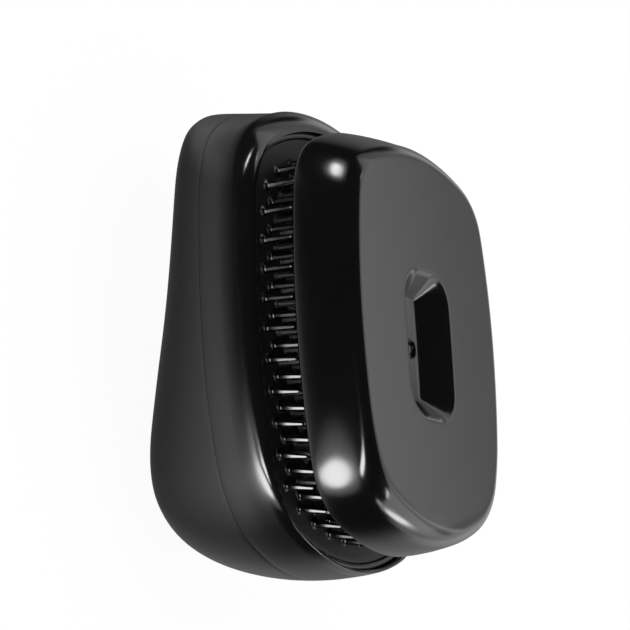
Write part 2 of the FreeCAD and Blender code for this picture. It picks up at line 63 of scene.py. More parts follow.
# How many steps the cover's crowned side takes, and the share of a step that is left for its lip
CROWN_STEPS = 10
CROWN_REST = 0.6
# How many loops the dome has outside and inside, where more loops close the palm face, and that face's crown
DOME_STEPS = 34
INNER_DOME_STEPS = 16
PALM_SPREADS = (0.86, 0.7, 0.52, 0.34, 0.16)
PALM_CROWN = 0.4 * MM
# Where the body's ends begin to change shape, and how far before the very end they have changed fully
END_START = 5 * MM
END_REST = 4.75 * MM
# How much of the thick end's snub also narrows it
SNUB_NARROWING = 0.4
# The share of the dome's depth that no parting line or ledge goes beyond, and the halvings that find one
DEEPEST_SHARE = 0.7
HALVINGS = 40
# How far the middle of a small round goes from its chord towards each leg of its corner
ROUND_PULL = 0.29
# Where the cover's edge round starts to widen towards the thick end, and over what length
WIDENING_START = 17 * MM
WIDENING_LENGTH = 18 * MM
# The pad's edge, and how far a tooth's foot sinks into the pad
PAD_ROUND = 0.3 * MM
TOOTH_SINK = 0.1 * MM
TOOTH_SIDES = 8
# Edges that turn by more are shaded as sharp
SHARP_TURN = math.radians(38)
# The marks in the plastic and on the screws, in waves per metre: cloudy sheen, rubbed streaks, grain, turning
CLOUD_WAVES = 70
RUB_WAVES = 260
GRAIN_WAVES = 7000
TURNING_WAVES = 3000
# How the streaks are stretched and where they show, and how far clouds and streaks change the roughness
RUB_STRETCH = (1, 0.12, 1)
RUB_EDGE = (0.62, 0.8)
CLOUD_SHEEN = 0.07
RUB_SHEEN = 0.05
# How dark and how pale the clouds make the colour
CLOUD_SHADES = (0.85, 1.2)
GRAIN_DEPTH = 0.02 * MM
TURNING_DEPTH = 0.01 * MM
# How far below the rim's crest its polish starts and is full
POLISH_START = 2.8 * MM
POLISH_FULL = 1 * MM
# Where the outer teeth begin to shine: the edge of the oval inside them, and the height above the pad
OVAL_EDGE = (0.45, 0.62)
SHINE_RISE = 0.4 * MM
# How white the picture shows the floor
FLOOR_WHITENESS = 0.95
# The brightest light that the gloss mirrors, the soft edges of lights, and the halo of the near lamps
ROOM_PEAK = 20
SOFT_EDGE = (0.5, 1.3)
WINDOW_EDGE = (0.4, 1.4)
NEAR_SIDE = (0.0, 0.2)
HALO_EDGE = (0.8, 4)
HALO_SHARE = 0.12
LAMP_RIM = 0.02
# The parts of the mirrored room, a ball of radius 1: where each starts and where it is full
BACK_WALL = (0.44, 0.54)
BACK_FOOT = (-0.08, 0.05)
BACK_END = (0.54, 0.64)
END_WALL = (0.5, 0.75)
END_TOP = (-0.42, -0.28)
LENGTHWISE = (-0.6, 0.9)
GROUND_REACH = (-0.35, 0.75)
GROUND_TOP = (-0.66, -0.38)
SKIRTING_FOOT = (-0.85, -0.45)
SKIRTING_BAND = (-0.35, -0.12)
SKIRTING_WALL = (0.55, 0.8)
SKIRTING_TOP = (-0.02, 0.04)
# The room's lights: where each is, which way it runs, its half widths and its strength
ROOM_LIGHTS = (
    ((-0.42, 0.60, 0.69), (0.26, 0.30, -0.16), 0.22, 0.10, 12),
    ((0.50, -0.80, 0.30), (0.50, 0.15, -0.50), 0.34, 0.16, 20),
    ((0.92, 0.25, 0.31), (-0.25, 0.47, -0.10), 0.20, 0.10, 4),
    ((0.57, 0.40, 0.72), (0.50, -0.10, -0.34), 0.16, 0.07, 10),
)
# The panel behind the brush: its middle and half sizes, where and how fast it fades, its bars and its window
PANEL_PLACE = (0, 0.3, 0.32)
PANEL_HALVES = (0.9, 0.2)
FADE_PLACE = (-0.07, 0.207)
FADE_RATES = (4, 40)
PANEL_BAR = (0.08, 0.09, 0.11, 0.12)
PANEL_EDGE = (0.15, 0.17)
WINDOW_PLACE = (0.52, 0.21)
WINDOW_HALVES = (0.2, 0.06)
WINDOW_STRENGTH = 11
# The lamps near the cover: where each shows on it, which way it lies, how far off, and its half widths
NEAR_LAMPS = {
    "thick_end_lamp": ((0.0283, -0.0253, 0.0476), (0.53, -0.77, -0.35), 0.048, 0.021, 0.0105),
    "thin_end_lamp": ((-0.0274, -0.0245, 0.0509), (-0.94, -0.32, -0.10), 0.020, 0.006, 0.0014),
}
# The height that the softbox faces
COVER_MIDDLE = 45 * MM


def size(name, millimetres, description):
    """A length that a user can change."""
    return bpy.props.FloatProperty(
        name=name, description=description, default=millimetres * MM, unit="LENGTH", precision=5)


def share(name, number, description):
    """A plain number that a user can change."""
    return bpy.props.FloatProperty(name=name, description=description, default=number, precision=3)


def turn(name, degrees, description):
    """An angle that a user can change."""
    return bpy.props.FloatProperty(
        name=name, description=description, default=math.radians(degrees), subtype="ANGLE")


def tint(name, colour, description):
    """A colour that a user can change."""
    return bpy.props.FloatVectorProperty(
        name=name, description=description, default=colour, subtype="COLOR", size=3, min=0, max=1)


class BodySizes(bpy.types.PropertyGroup):
    """Sizes of the brush's body: its rear shell and its front frame."""
    length: size("Length", 89.5, "Body, end to end")
    width: size("Width", 68, "Body, side to side")
    side_bow: size("Side bow", 150, "Radius of the long sides")
    end_bow: size("End bow", 50, "Radius of the ends")
    corner: size("Corner", 19, "Radius of the outline's corners")
    crest: size("Crest", 36.5, "Rim's crest above zero height")
    frame_depth: size("Frame depth", 11, "Crest down to the parting line")
    parting_gap: size("Parting gap", 0.05, "Open line between shell and frame")
    parting_round: size("Parting round", 0.08, "Round of the two edges at the parting line")
    wall: size("Wall", 1.8, "Wall of shell and frame")
    rim_height: size("Rim height", 5.2, "Crest down to where the dome starts")
    rim_round: size("Rim round", 3.4, "Round of the rim's outer edge")
    rim_width: size("Rim width", 4, "Outer wall to the rim's inner wall")
    rim_lip: size("Rim lip", 0.5, "Round of the rim's inner edge")
    ledge_drop: size("Ledge drop", 4.9, "Crest down to the ledge")
    ledge_width: size("Ledge width", 4.4, "Width of the ledge")
    ledge_thickness: size("Ledge thickness", 1.8, "Thickness of the ledge")
    snub: size("Snub", 3.1, "How far the wall is drawn in below the rim at the thick end")
    tuck: size("Tuck", 0.9, "How far the rim is drawn in towards its crest at the thin end")
    flare: size("Flare", 4.2, "How far the wall leans out towards the palm side at the thin end")
    dome_depth: size("Dome depth", 27.4, "Foot of the rim to the palm side")
    palm_tilt: turn("Palm tilt", 9.4, "Slope of the palm side, deeper towards the thick end")
    waist_depth: size("Waist depth", 3.05, "Wave of the palm side along the brush")
    waist_place: size("Waist place", -25.4, "Where the palm side is hollowest")
    waist_reach: size("Waist reach", 22, "Length of the wave, per radian")
    thick_inset: size("Thick end inset", 27.3, "Outline to the palm face at the thick end")
    thin_inset: size("Thin end inset", 6.9, "Outline to the palm face at the thin end")
    side_inset: size("Side inset", 24.2, "Outline to the palm face at the sides")
    thick_power: share("Thick end power", 2.2, "Power of the rounded profile at the thick end")
    thin_power: share("Thin end power", 4.05, "Power of the rounded profile at the thin end")
    side_power: share("Side power", 1.43, "Power of the rounded profile at the sides")


class PadSizes(bpy.types.PropertyGroup):
    """Sizes of the tooth pad and of the ring that holds it."""
    foot: size("Foot", 33.1, "Underside of the pad above zero height")
    thickness: size("Thickness", 1.9, "Pad without its teeth")
    clearance: size("Clearance", 0.05, "Between ring, rim and pad")
    ring_width: size("Ring width", 1.3, "Ring, across its section")
    ring_height: size("Ring height", 2.3, "Ring above the pad's underside")
    ring_round: size("Ring round", 0.55, "Round of the ring's upper edges")
    tooth_pitch: size("Tooth pitch", 5.7, "Tooth to tooth along a row")
    row_pitch: size("Row pitch", 2.5, "Row to row, from the outline inwards")
    rows_shift: size("Rows shift", 0.5, "Middle of the rows, towards the thin end")
    row_corner: size("Row corner", 2, "Smallest corner of a row")
    thin_share: share("Thin-end share", 0.95, "How far the rows reach towards the thin end")
    long_tooth: size("Long tooth", 8.9, "Long teeth above the pad")
    short_tooth: size("Short tooth", 5.9, "Short teeth above the pad")
    tooth_base: size("Tooth base", 0.75, "Radius of a tooth at the pad")
    tooth_tip: size("Tooth tip", 0.4, "Radius of a tooth at its tip")
    bump_radius: size("Bump radius", 1.3, "Domed bump round a tooth's base")
    bump_height: size("Bump height", 0.5, "Height of that bump")
    tooth_clearance: size("Tooth clearance", 1.25, "Outer teeth to the inside of the cover")
    hub_clearance: size("Hub clearance", 0.6, "Teeth to the hub of the cover's recess")
    tooth_lean: turn("Tooth lean", 6, "Lean of the middle teeth towards the thick end")
    fan: turn("Fan", 10, "Lean added towards each end")


class CoverSizes(bpy.types.PropertyGroup):
    """Sizes of the lift-off cover and of the recess in its face."""
    inset: size("Inset", 5.4, "Cover's wall inside the body's outline")
    edge: size("Edge", 42.8, "Open edge above zero height")
    height: size("Height", 12.4, "Open edge to face")
    wall: size("Wall", 1.5, "Wall of the cover")
    edge_round: size("Edge round", 2.6, "Round between side and face")
    thick_round: size("Thick-end round", 5, "The same round at the thick end")
    edge_lean: turn("Edge lean", 3, "Outward lean of the crowned side at the open edge")
    crown: turn("Crown", 10, "Inward lean of the crowned side where its round starts")
    lip: size("Lip", 0.35, "Round of the open edge")
    slope: size("Slope", 4.1, "How far the thin end leans back, from the open edge to the face")
    recess_shift: size("Recess shift", 2.1, "Recess towards the thick end")
    recess_length: size("Recess length", 27.5, "Mouth of the recess, along")
    recess_width: size("Recess width", 17, "Mouth of the recess, across")
    recess_corner: size("Recess corner", 6, "Corners of the mouth")
    recess_bow: size("Recess bow", 300, "Bow of the recess's sides")
    recess_lip: size("Recess lip", 0.45, "Round of the mouth's edge")
    floor_length: size("Floor length", 18.5, "Floor of the recess, along")
    floor_width: size("Floor width", 5, "Floor of the recess, across")
    floor_corner: size("Floor corner", 0.7, "Corners of the floor")
    recess_depth: size("Recess depth", 3.9, "Face to the floor of the recess")
    recess_wall: size("Recess wall", 1.3, "Wall round the recess")
    gate_radius: size("Gate radius", 1.85, "Round gate mark in the floor")
    gate_depth: size("Gate depth", 0.5, "Depth of the gate mark")
    stub_radius: size("Stub radius", 0.75, "Stub in the middle of the gate mark")
    stub_height: size("Stub height", 0.32, "Stub above the bottom of the gate mark")


class Finishes(bpy.types.PropertyGroup):
    """Colours of the plastics, the screws and the floor."""
    body: tint("Body", (0.0035, 0.0035, 0.0036), "Satin black of shell and frame")
    cover: tint("Cover", (0.003, 0.003, 0.0031), "Gloss black of the cover")
    pad: tint("Pad", (0.002, 0.002, 0.002), "Matte black of the pad")
    teeth: tint("Teeth", (0.003, 0.003, 0.003), "Black of the thin teeth")
    carrier: tint("Carrier", (0.06, 0.06, 0.06), "Dark grey of the plate under the pad")
    steel: tint("Steel", (0.55, 0.55, 0.56), "Bright steel of the screws")
    floor: tint("Floor", (0.96, 0.96, 0.96), "Pale floor")


class StageSettings(bpy.types.PropertyGroup):
    """Where the camera stands and what the glossy plastic mirrors."""
    side_turn: turn("Side turn", -62.58, "Camera round the brush's long axis")
    end_turn: turn("End turn", -11.63, "Camera towards the thick end")
    roll: turn("Roll", -3.74, "Camera about its own line of sight")
    distance: size("Distance", 1669, "Camera to the cover")
    pixels_per_millimetre: share("Pixels per millimetre", 5.472, "Scale of the picture at the cover")
    across: share("Across", 372.0, "Pixel column of a point in the middle of the brush")
    down: share("Down", 344.0, "Pixel row of that point")
    picture: share("Picture", 630, "Width and height of the picture in pixels")
    aim_height: size("Aim height", 43.4, "Height of the point that across and down place")
    light: share("Light", 1.0, "Strength of the white surroundings")
    floor_drop: size("Floor drop", 0.6, "Floor below the brush's own zero height")


def clamp(number):
    """A number held between 0 and 1."""
    return min(1.0, max(0.0, number))


def eased(number):
    """A number held between 0 and 1, with a soft start and stop."""
    number = clamp(number)
    return number * number * (3 - 2 * number)


def corner_centre(half_length, half_width, side, end, corner):
    """Centre of the corner arc that runs into both the side's and the end's bow."""
    side_y = half_width - side
    end_x = half_length - end
    span = math.hypot(end_x, side_y)
    along = ((side - corner) ** 2 - (end - corner) ** 2 + span ** 2) / (2 * span)
    aside = math.sqrt((side - corner) ** 2 - along ** 2)
    x = (end_x * along - side_y * aside) / span
    y = side_y - (side_y * along + end_x * aside) / span
    return abs(x), abs(y)


def bowed_outline(half_length, half_width, side, end, corner):
    """Points round eight tangent arcs, the same number on each arc whatever the sizes."""
    x, y = corner_centre(half_length, half_width, side, end, corner)
    side_y = half_width - side
    end_x = half_length - end
    end_turn = math.atan2(y, x - end_x)
    side_turn = math.atan2(y - side_y, x)
    arcs = [
        (end_x, 0, end, -end_turn, end_turn, END_STEPS),
        (x, y, corner, end_turn, side_turn, CORNER_STEPS),
        (0, side_y, side, side_turn, math.pi - side_turn, SIDE_STEPS),
        (-x, y, corner, math.pi - side_turn, math.pi - end_turn, CORNER_STEPS),
        (-end_x, 0, end, math.pi - end_turn, math.pi + end_turn, END_STEPS),
        (-x, -y, corner, math.pi + end_turn, math.pi + side_turn, CORNER_STEPS),
        (0, -side_y, side, math.pi + side_turn, 2 * math.pi - side_turn, SIDE_STEPS),
        (x, -y, corner, 2 * math.pi - side_turn, 2 * math.pi - end_turn, CORNER_STEPS),
    ]
    points = []
    for centre_x, centre_y, radius, start, stop, steps in arcs:
        for step in range(steps):
            angle = start + (stop - start) * step / steps
            points.append((centre_x + radius * math.cos(angle), centre_y + radius * math.sin(angle)))
    return points


def relaxed(points, passes):
    """A loop of points whose changes of curvature are softened."""
    for _ in range(passes):
        points = [
            ((before[0] + 2 * here[0] + after[0]) / 4, (before[1] + 2 * here[1] + after[1]) / 4)
            for before, here, after in zip(points[-1:] + points[:-1], points, points[1:] + points[:1])]
    return points


def body_outline(body, inset):
    """The body's outline, drawn in by an inset."""
    points = bowed_outline(
        body.length / 2 - inset, body.width / 2 - inset,
        body.side_bow - inset, body.end_bow - inset, body.corner - inset)
    return relaxed(points, OUTLINE_PASSES)


def level(points, height):
    """A flat loop at a height."""
    return [Vector((x, y, height)) for x, y in points]


def body_loop(body, inset, height):
    """The body's outline, drawn in by an inset, at a height."""
    return level(body_outline(body, inset), height)


def quarter(steps):
    """The angles of a quarter round, from nothing to a right angle."""
    return [math.pi / 2 * step / steps for step in range(steps + 1)]


class Skin:
    """A surface drawn by extruding a closed loop of edges from place to place."""

    def __init__(self, points):
        self.mesh = bmesh.new()
        self.order = self.mesh.verts.layers.int.new("order")
        ring = bmesh.ops.create_circle(self.mesh, segments=len(points), radius=1, cap_ends=False)
        for number, vert in enumerate(ring["verts"]):
            vert[self.order] = number
            vert.co = points[number]
        self.first = list(self.mesh.edges)
        self.last = self.first

    def through(self, *loops):
        """Extrude the last loop on to further loops of points."""
        for points in loops:
            grown = bmesh.ops.extrude_edge_only(self.mesh, edges=self.last)["geom"]
            fresh = {item for item in grown if isinstance(item, bmesh.types.BMVert)}
            for vert in fresh:
                vert.co = points[vert[self.order]]
            self.last = [
                item for item in grown
                if isinstance(item, bmesh.types.BMEdge) and set(item.verts) <= fresh]
        return self

    def cap(self):
        """Close the last loop with a fan."""
        face = bmesh.ops.edgeloop_fill(self.mesh, edges=self.last)["faces"]
        bmesh.ops.poke(self.mesh, faces=face)
        return self

    def from_first(self):
        """Go on from the first loop."""
        self.last = self.first
        return self

    def join_ends(self):
        """Bridge the last loop to the first."""
        bmesh.ops.bridge_loops(self.mesh, edges=self.first + self.last)
        return self


def make_piece(name, mesh, body, nodes, material):
    """Turn a finished bmesh into a piece that rides on a body and stands for CAD nodes."""
    bmesh.ops.recalc_face_normals(mesh, faces=mesh.faces)
    data = bpy.data.meshes.new(name)
    mesh.to_mesh(data)
    mesh.free()
    data.attributes.remove(data.attributes["order"])
    data.polygons.foreach_set("use_smooth", [True] * len(data.polygons))
    data.set_sharp_from_angle(angle=SHARP_TURN)
    data.materials.append(material)
    piece = bpy.data.objects.new(name, data)
    bpy.context.scene.collection.objects.link(piece)
    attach(piece, body)
    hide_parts(*nodes)
    return piece


class Field:
    """A shader value; arithmetic on it adds Math nodes."""

    def __init__(self, finish, socket):
        self.finish = finish
        self.socket = socket

    def math(self, operation, first, second):
        return self.finish.node(
            "ShaderNodeMath", {"operation": operation}, {0: first, 1: second}).value()

    def __add__(self, other):
        return self.math("ADD", self, other)

    def __radd__(self, other):
        return self.math("ADD", other, self)

    def __sub__(self, other):
        return self.math("SUBTRACT", self, other)

    def __rsub__(self, other):
        return self.math("SUBTRACT", other, self)

    def __mul__(self, other):
        return self.math("MULTIPLY", self, other)

    def __rmul__(self, other):
        return self.math("MULTIPLY", other, self)


class Made:
    """A node that was made, and the way to its outputs."""

    def __init__(self, finish, node):
        self.finish = finish
        self.node = node

    def value(self, output=0):
        return Field(self.finish, self.node.outputs[output])


class Finish:
    """A material under construction."""

    def __init__(self, name):
        self.material = bpy.data.materials.new(name)
        self.material.use_nodes = True
        self.tree = self.material.node_tree
        self.shader = self.tree.nodes["Principled BSDF"]
        self.place = self.node("ShaderNodeTexCoord").value("Object")

    def node(self, kind, settings=None, inputs=None):
        """Add a node: its settings first, then the values or links of its sockets."""
        node = self.tree.nodes.new(kind)
        for key, setting in (settings or {}).items():
            setattr(node, key, setting)
        for key, given in (inputs or {}).items():
            self.feed(node.inputs[key], given)
        return Made(self, node)

    def feed(self, socket, given):
        """Link a field to a socket, or set its number."""
        if isinstance(given, Field):
            self.tree.links.new(given.socket, socket)
        else:
            socket.default_value = given

    def set(self, **sockets):
        """Feed the shader's own sockets."""
        for key, given in sockets.items():
            self.feed(self.shader.inputs[key.replace("_", " ").title().replace("Ior", "IOR")], given)

    def noise(self, scale, detail=2.0, stretch=None):
        """Noise over the piece, from 0 to 1; scale is in waves per metre."""
        place = self.place
        if stretch:
            place = self.node("ShaderNodeMapping", None, {"Vector": place, "Scale": stretch}).value()
        return self.node(
            "ShaderNodeTexNoise", None, {"Vector": place, "Scale": scale, "Detail": detail}).value()

    def ramp(self, field, low, high):
        """A field spread from low..high to 0..1 with soft ends."""
        return self.node(
            "ShaderNodeMapRange", {"interpolation_type": "SMOOTHSTEP"},
            {"Value": field, "From Min": low, "From Max": high}).value()

    def mix(self, factor, first, second):
        """A colour between two colours."""
        return self.node(
            "ShaderNodeMix", {"data_type": "RGBA"}, {0: factor, 6: (*first, 1), 7: (*second, 1)}).value(2)

    def bump(self, height, depth, strength):
        """A normal tilted by a height field."""
        return self.node(
            "ShaderNodeBump", None, {"Height": height, "Distance": depth, "Strength": strength}).value()

    def dot(self, aim):
        """How far the place lies along a direction."""
        return self.node(
            "ShaderNodeVectorMath", {"operation": "DOT_PRODUCT"}, {0: self.place, 1: aim}).value("Value")

    def axes(self):
        """The place's three coordinates."""
        parts = self.node("ShaderNodeSeparateXYZ", None, {0: self.place})
        return parts.value("X"), parts.value("Y"), parts.value("Z")

    def height(self):
        """The place's height."""
        return self.axes()[2]


def brighter(colour, gain):
    """A colour times a gain."""
    return tuple(channel * gain for channel in colour)


def moulded_plastic(name, colour, roughness, grain, polish=None, tips=None, inner=None):
    """Moulded plastic with fine grain, a cloudy sheen and rubbed streaks.

    If asked, it is polished or paler from one height to another, or matte low down and inside an oval.
    """
    finish = Finish(name)
    cloud = finish.noise(CLOUD_WAVES, 3)
    rub = finish.ramp(finish.noise(RUB_WAVES, 4, stretch=RUB_STRETCH), *RUB_EDGE)
    fine = finish.noise(GRAIN_WAVES, 2)
    satin = roughness + CLOUD_SHEEN * (cloud - 0.5) + RUB_SHEEN * rub
    if polish:
        low, high, gloss = polish
        polished = finish.ramp(finish.height(), low, high)
        satin = satin * (1 - polished) + gloss * polished
    if inner:
        half_length, half_width, top, matte = inner
        along = finish.dot((1 / half_length, 0, 0))
        across = finish.dot((0, 1 / half_width, 0))
        along = along * along
        across = across * across
        outside = finish.ramp(along * along + across * across, *OVAL_EDGE)
        shiny = outside * finish.ramp(finish.height(), top, top + SHINE_RISE)
        satin = matte * (1 - shiny) + satin * shiny
    shade = finish.mix(cloud, *(brighter(colour, gain) for gain in CLOUD_SHADES))
    if tips:
        low, high, pale = tips
        raised = finish.ramp(finish.height(), low, high)
        shade = finish.mix(raised * (0.75 + 0.5 * cloud), colour, pale)
    finish.set(base_color=shade, roughness=satin, normal=finish.bump(fine, GRAIN_DEPTH, grain))
    return finish.material


def screw_steel(name, colour):
    """Bright drawn steel with fine turning marks."""
    finish = Finish(name)
    marks = finish.noise(TURNING_WAVES, 3, stretch=(1, 1, 0.05))
    finish.set(
        metallic=1.0, base_color=finish.mix(marks, brighter(colour, 0.8), colour),
        roughness=0.28 + 0.15 * marks, normal=finish.bump(marks, TURNING_DEPTH, 0.3))
    return finish.material


def end_share(x, body):
    """How far a place is towards the thick end, or with -x the thin end: 0 in the middle, 1 near the end."""
    return eased((x - END_START) / (body.length / 2 - END_REST - END_START))


def snubbed(points, body, amount):
    """An outline with its thick end drawn in."""
    result = []
    for x, y in points:
        near = end_share(x, body) * amount
        narrowing = SNUB_NARROWING * body.snub * near / (body.width / 2)
        result.append((x - body.snub * near, y * (1 - narrowing)))
    return result


def tucked(points, body, amount):
    """An outline with its thin end drawn in."""
    return [(x + body.tuck * amount * end_share(-x, body), y) for x, y in points]


def closing(depth, power):
    """How far a wall has closed in at a share of the dome's depth."""
    return 1 - max(0.0, 1 - depth ** power) ** (1 / power)


def palm_wave(x, body):
    """Height of the palm side's slope and wave along the brush."""
    phase = max(-math.pi, min(math.pi, (x - body.waist_place) / body.waist_reach))
    return body.waist_depth * math.cos(phase) - math.tan(body.palm_tilt) * x


def dome_place(body, point, depth, wall):
    """A place on the dome: an outline point carried down by a share of the dome's depth."""
    thick = body.thick_inset * closing(depth, body.thick_power)
    thin = body.thin_inset * closing(depth, body.thin_power)
    side = body.side_inset * closing(depth, body.side_power)
    x = (thin - thick) / 2 + point[0] * (body.length - thick - thin) / body.length
    y = point[1] * (body.width / 2 - side) / (body.width / 2)
    foot = body.crest - body.rim_height
    z = foot - depth * (body.dome_depth - wall) + depth ** 2 * palm_wave(x, body)
    x -= body.flare * depth * end_share(-x, body)
    return Vector((x, y, z))


def dome_depths(body, points, height, wall):
    """Each point's share of the dome's depth at which the wall passes a height."""
    depths = []
    for point in points:
        low, high = 0.0, DEEPEST_SHARE
        for _ in range(HALVINGS):
            middle = (low + high) / 2
            if dome_place(body, point, middle, wall).z > height:
                low = middle
            else:
                high = middle
        depths.append(low)
    return depths


def dome_ring(body, points, depths, wall):
    """A loop on the dome, with each point at its own share of the depth."""
    return [dome_place(body, point, depth, wall) for point, depth in zip(points, depths)]


def dome_loops(body, points, starts, steps, wall):
    """Loops down the dome, from each point's own start to the palm face."""
    begins = [math.asin(start) for start in starts]
    loops = []
    for step in range(1, steps + 1):
        done = step / steps
        depths = [math.sin(begin + (math.pi / 2 - begin) * done) for begin in begins]
        loops.append(dome_ring(body, points, depths, wall))
    return loops


def parting_edge(body, points, height, away):
    """The small round at the parting line: its three loops, and the depths of the last."""
    corner = dome_ring(body, points, dome_depths(body, points, height, 0), 0)
    depths = dome_depths(body, points, height + away, 0)
    shoulder = dome_ring(body, points, depths, 0)
    flat = []
    for place in corner:
        kept = 1 - body.parting_round / place.xy.length
        flat.append(Vector((place.x * kept, place.y * kept, height)))
    middle = [
        (first + second) / 2 + (place - first) * ROUND_PULL + (place - second) * ROUND_PULL
        for first, second, place in zip(flat, shoulder, corner)]
    return flat, middle, shoulder, depths


def palm_loops(loop, body, wall):
    """Loops that close the palm face over its middle."""
    middle = sum(loop, Vector()) / len(loop)
    foot = body.crest - body.rim_height - (body.dome_depth - wall)
    loops = []
    for spread in PALM_SPREADS:
        crown = PALM_CROWN * (1 - spread ** 2)
        inner = []
        for place in loop:
            x = middle.x + (place.x - middle.x) * spread
            inner.append(Vector((x, place.y * spread, foot + palm_wave(x, body) - crown)))
        loops.append(inner)
    return loops


def body_plastic():
    """The body's plastic, made once: satin on the wall and polished round the rim."""
    scene = bpy.context.scene
    crest = scene.brush_body.crest
    known = bpy.data.materials.get("satin_black_body")
    return known or moulded_plastic(
        "satin_black_body", scene.brush_finishes.body, roughness=0.32, grain=0.16,
        polish=(crest - POLISH_START, crest - POLISH_FULL, 0.13))


class BRUSH_OT_rear_shell(bpy.types.Operator):
    """Model the domed shell behind the parting line"""
    bl_idname = "palm_brush.rear_shell"
    bl_label = "Rear shell"

    def execute(self, context):
        body = context.scene.brush_body
        parting = body.crest - body.frame_depth - body.parting_gap / 2
        outer = snubbed(body_outline(body, 0), body, 1)
        inner = snubbed(body_outline(body, body.wall), body, 1)
        flat, middle, shoulder, depths = parting_edge(body, outer, parting, -body.parting_round)
        outside = dome_loops(body, outer, depths, DOME_STEPS, 0)
        skin = Skin(flat).through(middle, shoulder, *outside, *palm_loops(outside[-1], body, 0)).cap()
        starts = dome_depths(body, inner, parting, body.wall)
        mouth = dome_ring(body, inner, starts, body.wall)
        inside = dome_loops(body, inner, starts, INNER_DOME_STEPS, body.wall)
        skin.from_first().through(mouth, *inside, *palm_loops(inside[-1], body, body.wall)).cap()
        make_piece("rear_shell_skin", skin.mesh, "brush", ["rear_shell"], body_plastic())
        return {"FINISHED"}


class BRUSH_OT_front_frame(bpy.types.Operator):
    """Model the front half of the body with its rounded rim and the ledge inside it"""
    bl_idname = "palm_brush.front_frame"
    bl_label = "Front frame"

    def execute(self, context):
        body = context.scene.brush_body
        parting = body.crest - body.frame_depth + body.parting_gap / 2
        outer = snubbed(body_outline(body, 0), body, 1)
        inner = snubbed(body_outline(body, body.wall), body, 1)
        flat, middle, shoulder, depths = parting_edge(body, outer, parting, body.parting_round)
        skin = Skin(flat).through(middle, shoulder)
        for left in (0.75, 0.5, 0.25, 0.0):
            skin.through(dome_ring(body, outer, [depth * left for depth in depths], 0))
        for angle in quarter(RIM_STEPS):
            inset = body.rim_round * (1 - math.cos(angle))
            height = body.crest - body.rim_round * (1 - math.sin(angle))
            rim = tucked(snubbed(body_outline(body, inset), body, math.cos(angle)), body, math.sin(angle))
            skin.through(level(rim, height))
        for angle in quarter(LIP_STEPS):
            inset = body.rim_width - body.rim_lip * (1 - math.sin(angle))
            skin.through(body_loop(body, inset, body.crest - body.rim_lip * (1 - math.cos(angle))))
        ledge = body.crest - body.ledge_drop
        under = ledge - body.ledge_thickness
        opening = body.rim_width + body.ledge_width
        skin.through(
            body_loop(body, body.rim_width, ledge),
            body_loop(body, opening, ledge),
            body_loop(body, opening, under),
            dome_ring(body, inner, dome_depths(body, inner, under, body.wall), body.wall),
            dome_ring(body, inner, dome_depths(body, inner, parting, body.wall), body.wall)).join_ends()
        make_piece("front_frame_rim", skin.mesh, "brush", ["front_frame"], body_plastic())
        return {"FINISHED"}


class BRUSH_OT_retaining_ring(bpy.types.Operator):
    """Model the thin bead that holds the pad's edge inside the rim"""
    bl_idname = "palm_brush.retaining_ring"
    bl_label = "Retaining ring"

    def execute(self, context):
        body = context.scene.brush_body
        pad = context.scene.brush_pad
        outside = body.rim_width + pad.clearance
        inside = outside + pad.ring_width
        top = pad.foot + pad.ring_height
        skin = Skin(body_loop(body, outside, pad.foot))
        for angle in quarter(LIP_STEPS):
            inset = outside + pad.ring_round * (1 - math.cos(angle))
            skin.through(body_loop(body, inset, top - pad.ring_round * (1 - math.sin(angle))))
        for angle in quarter(LIP_STEPS):
            inset = inside - pad.ring_round * (1 - math.sin(angle))
            skin.through(body_loop(body, inset, top - pad.ring_round * (1 - math.cos(angle))))
        skin.through(body_loop(body, inside, pad.foot)).join_ends()
        material = moulded_plastic(
            "gloss_black_ring", context.scene.brush_finishes.body, roughness=0.2, grain=0.1)
        make_piece("retaining_ring_bead", skin.mesh, "brush", ["pad_retaining_ring"], material)
        return {"FINISHED"}


def outer_row(pad, cover):
    """How far the outer row of teeth lies inside the body's outline."""
    return cover.inset + cover.wall + pad.tooth_clearance + pad.tooth_base


def row_loop(body, pad, inset):
    """Points round a row of teeth, an outline inside the body's, from the middle of one long side."""
    points = bowed_outline(
        body.length / 2 - inset, body.width / 2 - inset, body.side_bow - inset, body.end_bow - inset,
        max(body.corner - inset, pad.row_corner))
    start = END_STEPS + CORNER_STEPS + SIDE_STEPS // 2
    return points[start:] + points[:start + 1]


def spaced(loop, pitch, stagger):
    """Places at an even pitch round a loop; an even number, so that the row mirrors onto itself."""
    along = [0.0]
    for one, two in zip(loop, loop[1:]):
        along.append(along[-1] + math.dist(one, two))
    count = 2 * max(round(along[-1] / pitch / 2), 1)
    places = []
    index = 0
    for step in range(count):
        goal = along[-1] * (step + stagger) / count
        while along[index + 1] < goal:
            index += 1
        part = (goal - along[index]) / (along[index + 1] - along[index])
        one, two = loop[index], loop[index + 1]
        places.append((one[0] + (two[0] - one[0]) * part, one[1] + (two[1] - one[1]) * part))
    return places


def tooth_places(body, pad, cover):
    """Where the teeth stand, in rows that follow the outline, staggered: x, y, lean and length."""
    hub_along = cover.recess_length / 2 + cover.recess_wall + pad.hub_clearance
    hub_across = cover.recess_width / 2 + cover.recess_wall + pad.hub_clearance
    inset = outer_row(pad, cover)
    places = []
    row = 0
    while body.width / 2 - inset > pad.row_pitch:
        for along, y in spaced(row_loop(body, pad, inset), pad.tooth_pitch, (row % 2) / 2):
            x = (along - pad.rows_shift) * (pad.thin_share if along < 0 else 1)
            lean = pad.tooth_lean + pad.fan * x / (body.length / 2)
            under_hub = abs(x - cover.recess_shift) < hub_along and abs(y) < hub_across
            length = pad.short_tooth if under_hub or row % 2 == 0 else pad.long_tooth
            places.append((x, y, lean, length))
        inset += pad.row_pitch
        row += 1
    return places


